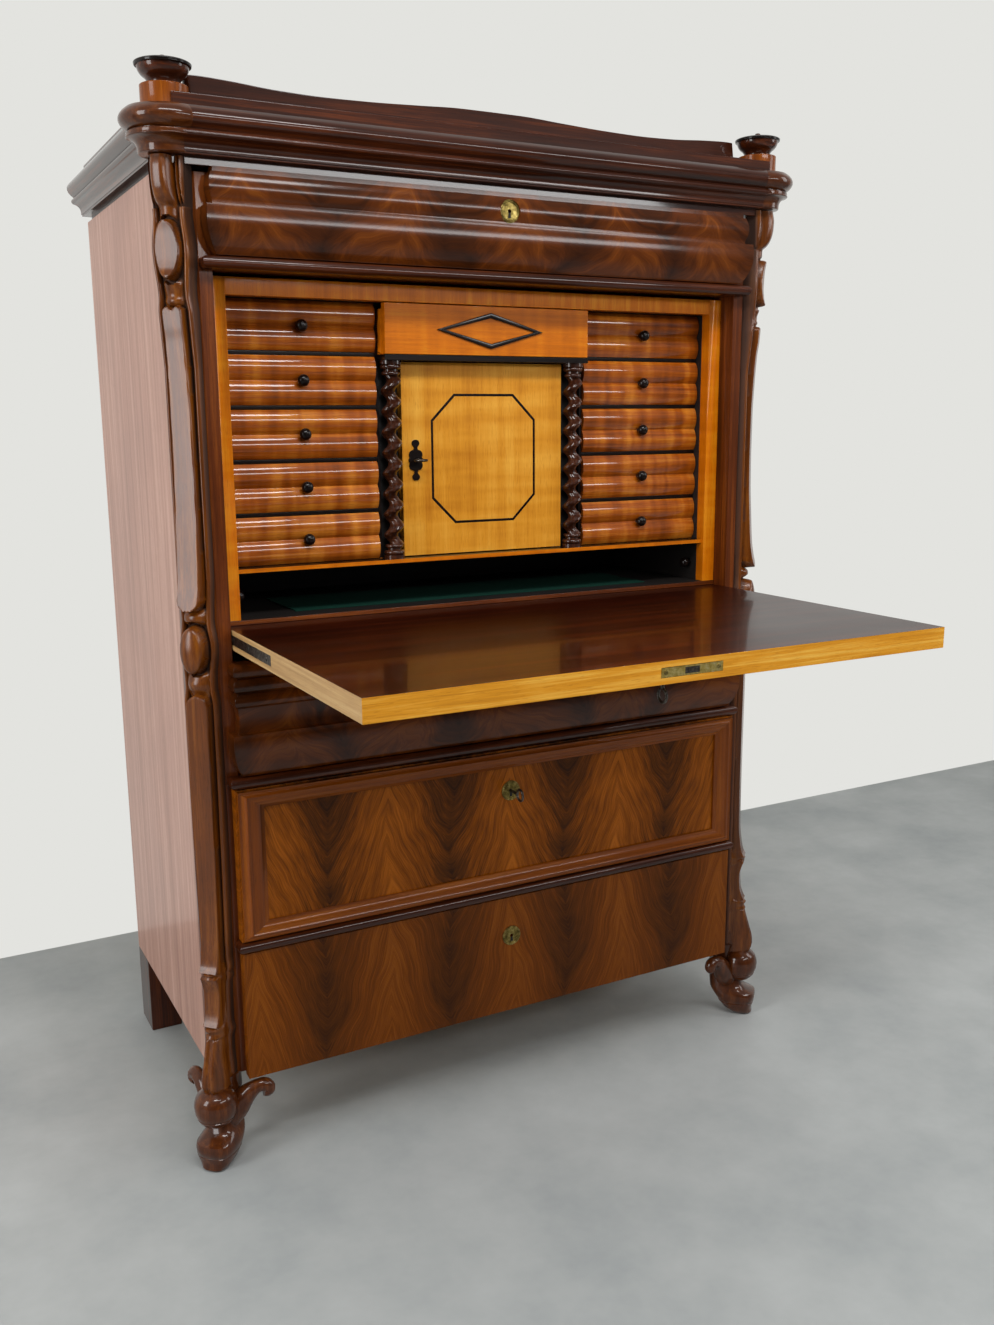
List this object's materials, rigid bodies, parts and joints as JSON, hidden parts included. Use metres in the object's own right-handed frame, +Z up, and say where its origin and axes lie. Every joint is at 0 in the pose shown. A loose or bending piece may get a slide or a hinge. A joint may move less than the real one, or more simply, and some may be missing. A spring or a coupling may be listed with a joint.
{
  "type": "fall-front secretary desk",
  "caption": "Mahogany fall-front secretary with carved canted corners, drop-front writing surface, maple nest of small drawers, frieze drawer and long drawers",
  "frame": {"origin": "on the floor, under the middle of the whole part with the fall open", "axes": "+X to the right as seen from the front, +Y to the back, +Z up"},
  "size_m": [1.094, 1.034, 1.569],
  "materials": {
    "mahogany": "French-polished solid and straight-grained mahogany, glossy",
    "flame_mahogany": "French-polished flame-figured mahogany veneer, glossy",
    "maple": "polished golden maple veneer with a ripple figure",
    "lining_pine": "bare, aged pine",
    "ebonised_wood": "black-stained and polished hardwood",
    "brass": "aged brass, lightly tarnished",
    "steel": "dark, worn iron and steel",
    "baize": "green woollen baize"
  },
  "bodies": {
    "case": {"side_panels": "mahogany", "corner_posts": "mahogany", "back_panel": "lining_pine", "bottom_board": "lining_pine", "drawer_rails": "mahogany", "drawer_runners": "lining_pine", "cornice_moulding": "mahogany", "top_board": "mahogany", "blocking_course": "mahogany", "gallery_board": "mahogany", "corner_capitals": "mahogany", "corner_pilasters": "mahogany", "front_feet": "mahogany", "rear_feet": "mahogany", "pivot_sockets": "steel", "bed_board": "mahogany", "bed_baize": "baize", "bed_knobs": "ebonised_wood", "nest_face_frame": "maple", "nest_case": "lining_pine", "nest_dividers": "ebonised_wood", "twist_columns": "ebonised_wood"},
    "fall": {"fall_board": "flame_mahogany", "fall_pivots": "steel", "fall_lock": "brass"},
    "fall_bolt": {"fall_bolt": "steel"},
    "fall_key": {"fall_key": "steel"},
    "frieze_drawer": {"frieze_drawer_front": "flame_mahogany", "frieze_drawer_box": "lining_pine", "frieze_drawer_lock": "brass"},
    "moulded_drawer": {"moulded_drawer_front": "flame_mahogany", "moulded_drawer_box": "lining_pine"},
    "framed_drawer": {"framed_drawer_front": "flame_mahogany", "framed_drawer_moulding": "mahogany", "framed_drawer_box": "lining_pine", "framed_drawer_lock": "brass"},
    "framed_bolt": {"framed_drawer_bolt": "steel"},
    "framed_key": {"framed_drawer_key": "steel"},
    "plain_drawer": {"plain_drawer_front": "flame_mahogany", "plain_drawer_box": "lining_pine", "plain_drawer_lock": "brass"},
    "nest_door": {"nest_door": "maple", "nest_door_hinge_pins": "steel", "nest_door_stringing": "ebonised_wood", "nest_door_lock": "steel", "nest_door_escutcheon": "ebonised_wood"},
    "nest_bolt": {"nest_door_bolt": "steel"},
    "nest_key": {"nest_door_key": "steel"},
    "centre_drawer": {"centre_drawer": "maple", "lozenge_moulding": "ebonised_wood"},
    "small_drawer_left_1": {"small_drawer_left_1": "maple"},
    "small_drawer_left_2": {"small_drawer_left_2": "maple"},
    "small_drawer_left_3": {"small_drawer_left_3": "maple"},
    "small_drawer_left_4": {"small_drawer_left_4": "maple"},
    "small_drawer_left_5": {"small_drawer_left_5": "maple"},
    "small_drawer_right_1": {"small_drawer_right_1": "maple"},
    "small_drawer_right_2": {"small_drawer_right_2": "maple"},
    "small_drawer_right_3": {"small_drawer_right_3": "maple"},
    "small_drawer_right_4": {"small_drawer_right_4": "maple"},
    "small_drawer_right_5": {"small_drawer_right_5": "maple"}
  },
  "joints": [
    {"name": "fall_hinge", "type": "hinge", "parent": "case", "child": "fall", "pos_m": [0, -0.01525, 0.80425], "axis": [1, 0, 0], "range_deg": [-90, 0]},
    {"name": "fall_key_turn", "type": "hinge", "parent": "fall", "child": "fall_key", "pos_m": [0, -0.455, 0.7895], "axis": [0, 0, 1], "range_deg": [0, 90]},
    {"name": "fall_bolt_throw", "type": "slide", "parent": "fall", "child": "fall_bolt", "axis": [0, -1, 0], "range_m": [0, 0.009]},
    {"name": "frieze_drawer_slide", "type": "slide", "parent": "case", "child": "frieze_drawer", "axis": [0, -1, 0], "range_m": [0, 0.35]},
    {"name": "moulded_drawer_slide", "type": "slide", "parent": "case", "child": "moulded_drawer", "axis": [0, -1, 0], "range_m": [0, 0.35]},
    {"name": "framed_drawer_slide", "type": "slide", "parent": "case", "child": "framed_drawer", "axis": [0, -1, 0], "range_m": [0, 0.35]},
    {"name": "framed_key_turn", "type": "hinge", "parent": "framed_drawer", "child": "framed_key", "pos_m": [0, -0.048, 0.51897], "axis": [0, 1, 0], "range_deg": [0, 90]},
    {"name": "framed_bolt_throw", "type": "slide", "parent": "framed_drawer", "child": "framed_bolt", "axis": [0, 0, 1], "range_m": [0, 0.009]},
    {"name": "plain_drawer_slide", "type": "slide", "parent": "case", "child": "plain_drawer", "axis": [0, -1, 0], "range_m": [0, 0.35]},
    {"name": "nest_door_hinge", "type": "hinge", "parent": "case", "child": "nest_door", "pos_m": [0.138, 0.038, 1.04775], "axis": [0, 0, 1], "range_deg": [0, 90]},
    {"name": "nest_key_turn", "type": "hinge", "parent": "nest_door", "child": "nest_key", "pos_m": [-0.12, 0.034, 1.04775], "axis": [0, 1, 0], "range_deg": [0, 90]},
    {"name": "nest_bolt_throw", "type": "slide", "parent": "nest_door", "child": "nest_bolt", "axis": [-1, 0, 0], "range_m": [0, 0.009]},
    {"name": "centre_drawer_slide", "type": "slide", "parent": "case", "child": "centre_drawer", "axis": [0, -1, 0], "range_m": [0, 0.15]},
    {"name": "small_drawer_left_1_slide", "type": "slide", "parent": "case", "child": "small_drawer_left_1", "axis": [0, -1, 0], "range_m": [0, 0.15]},
    {"name": "small_drawer_left_2_slide", "type": "slide", "parent": "case", "child": "small_drawer_left_2", "axis": [0, -1, 0], "range_m": [0, 0.15]},
    {"name": "small_drawer_left_3_slide", "type": "slide", "parent": "case", "child": "small_drawer_left_3", "axis": [0, -1, 0], "range_m": [0, 0.15]},
    {"name": "small_drawer_left_4_slide", "type": "slide", "parent": "case", "child": "small_drawer_left_4", "axis": [0, -1, 0], "range_m": [0, 0.15]},
    {"name": "small_drawer_left_5_slide", "type": "slide", "parent": "case", "child": "small_drawer_left_5", "axis": [0, -1, 0], "range_m": [0, 0.15]},
    {"name": "small_drawer_right_1_slide", "type": "slide", "parent": "case", "child": "small_drawer_right_1", "axis": [0, -1, 0], "range_m": [0, 0.15]},
    {"name": "small_drawer_right_2_slide", "type": "slide", "parent": "case", "child": "small_drawer_right_2", "axis": [0, -1, 0], "range_m": [0, 0.15]},
    {"name": "small_drawer_right_3_slide", "type": "slide", "parent": "case", "child": "small_drawer_right_3", "axis": [0, -1, 0], "range_m": [0, 0.15]},
    {"name": "small_drawer_right_4_slide", "type": "slide", "parent": "case", "child": "small_drawer_right_4", "axis": [0, -1, 0], "range_m": [0, 0.15]},
    {"name": "small_drawer_right_5_slide", "type": "slide", "parent": "case", "child": "small_drawer_right_5", "axis": [0, -1, 0], "range_m": [0, 0.15]}
  ],
  "couplings": [
    {"joint": "fall_key_turn", "follows": "fall_bolt_throw", "rad_per_m": 174.53},
    {"joint": "framed_key_turn", "follows": "framed_bolt_throw", "rad_per_m": 174.53},
    {"joint": "nest_key_turn", "follows": "nest_bolt_throw", "rad_per_m": 174.53}
  ]
}
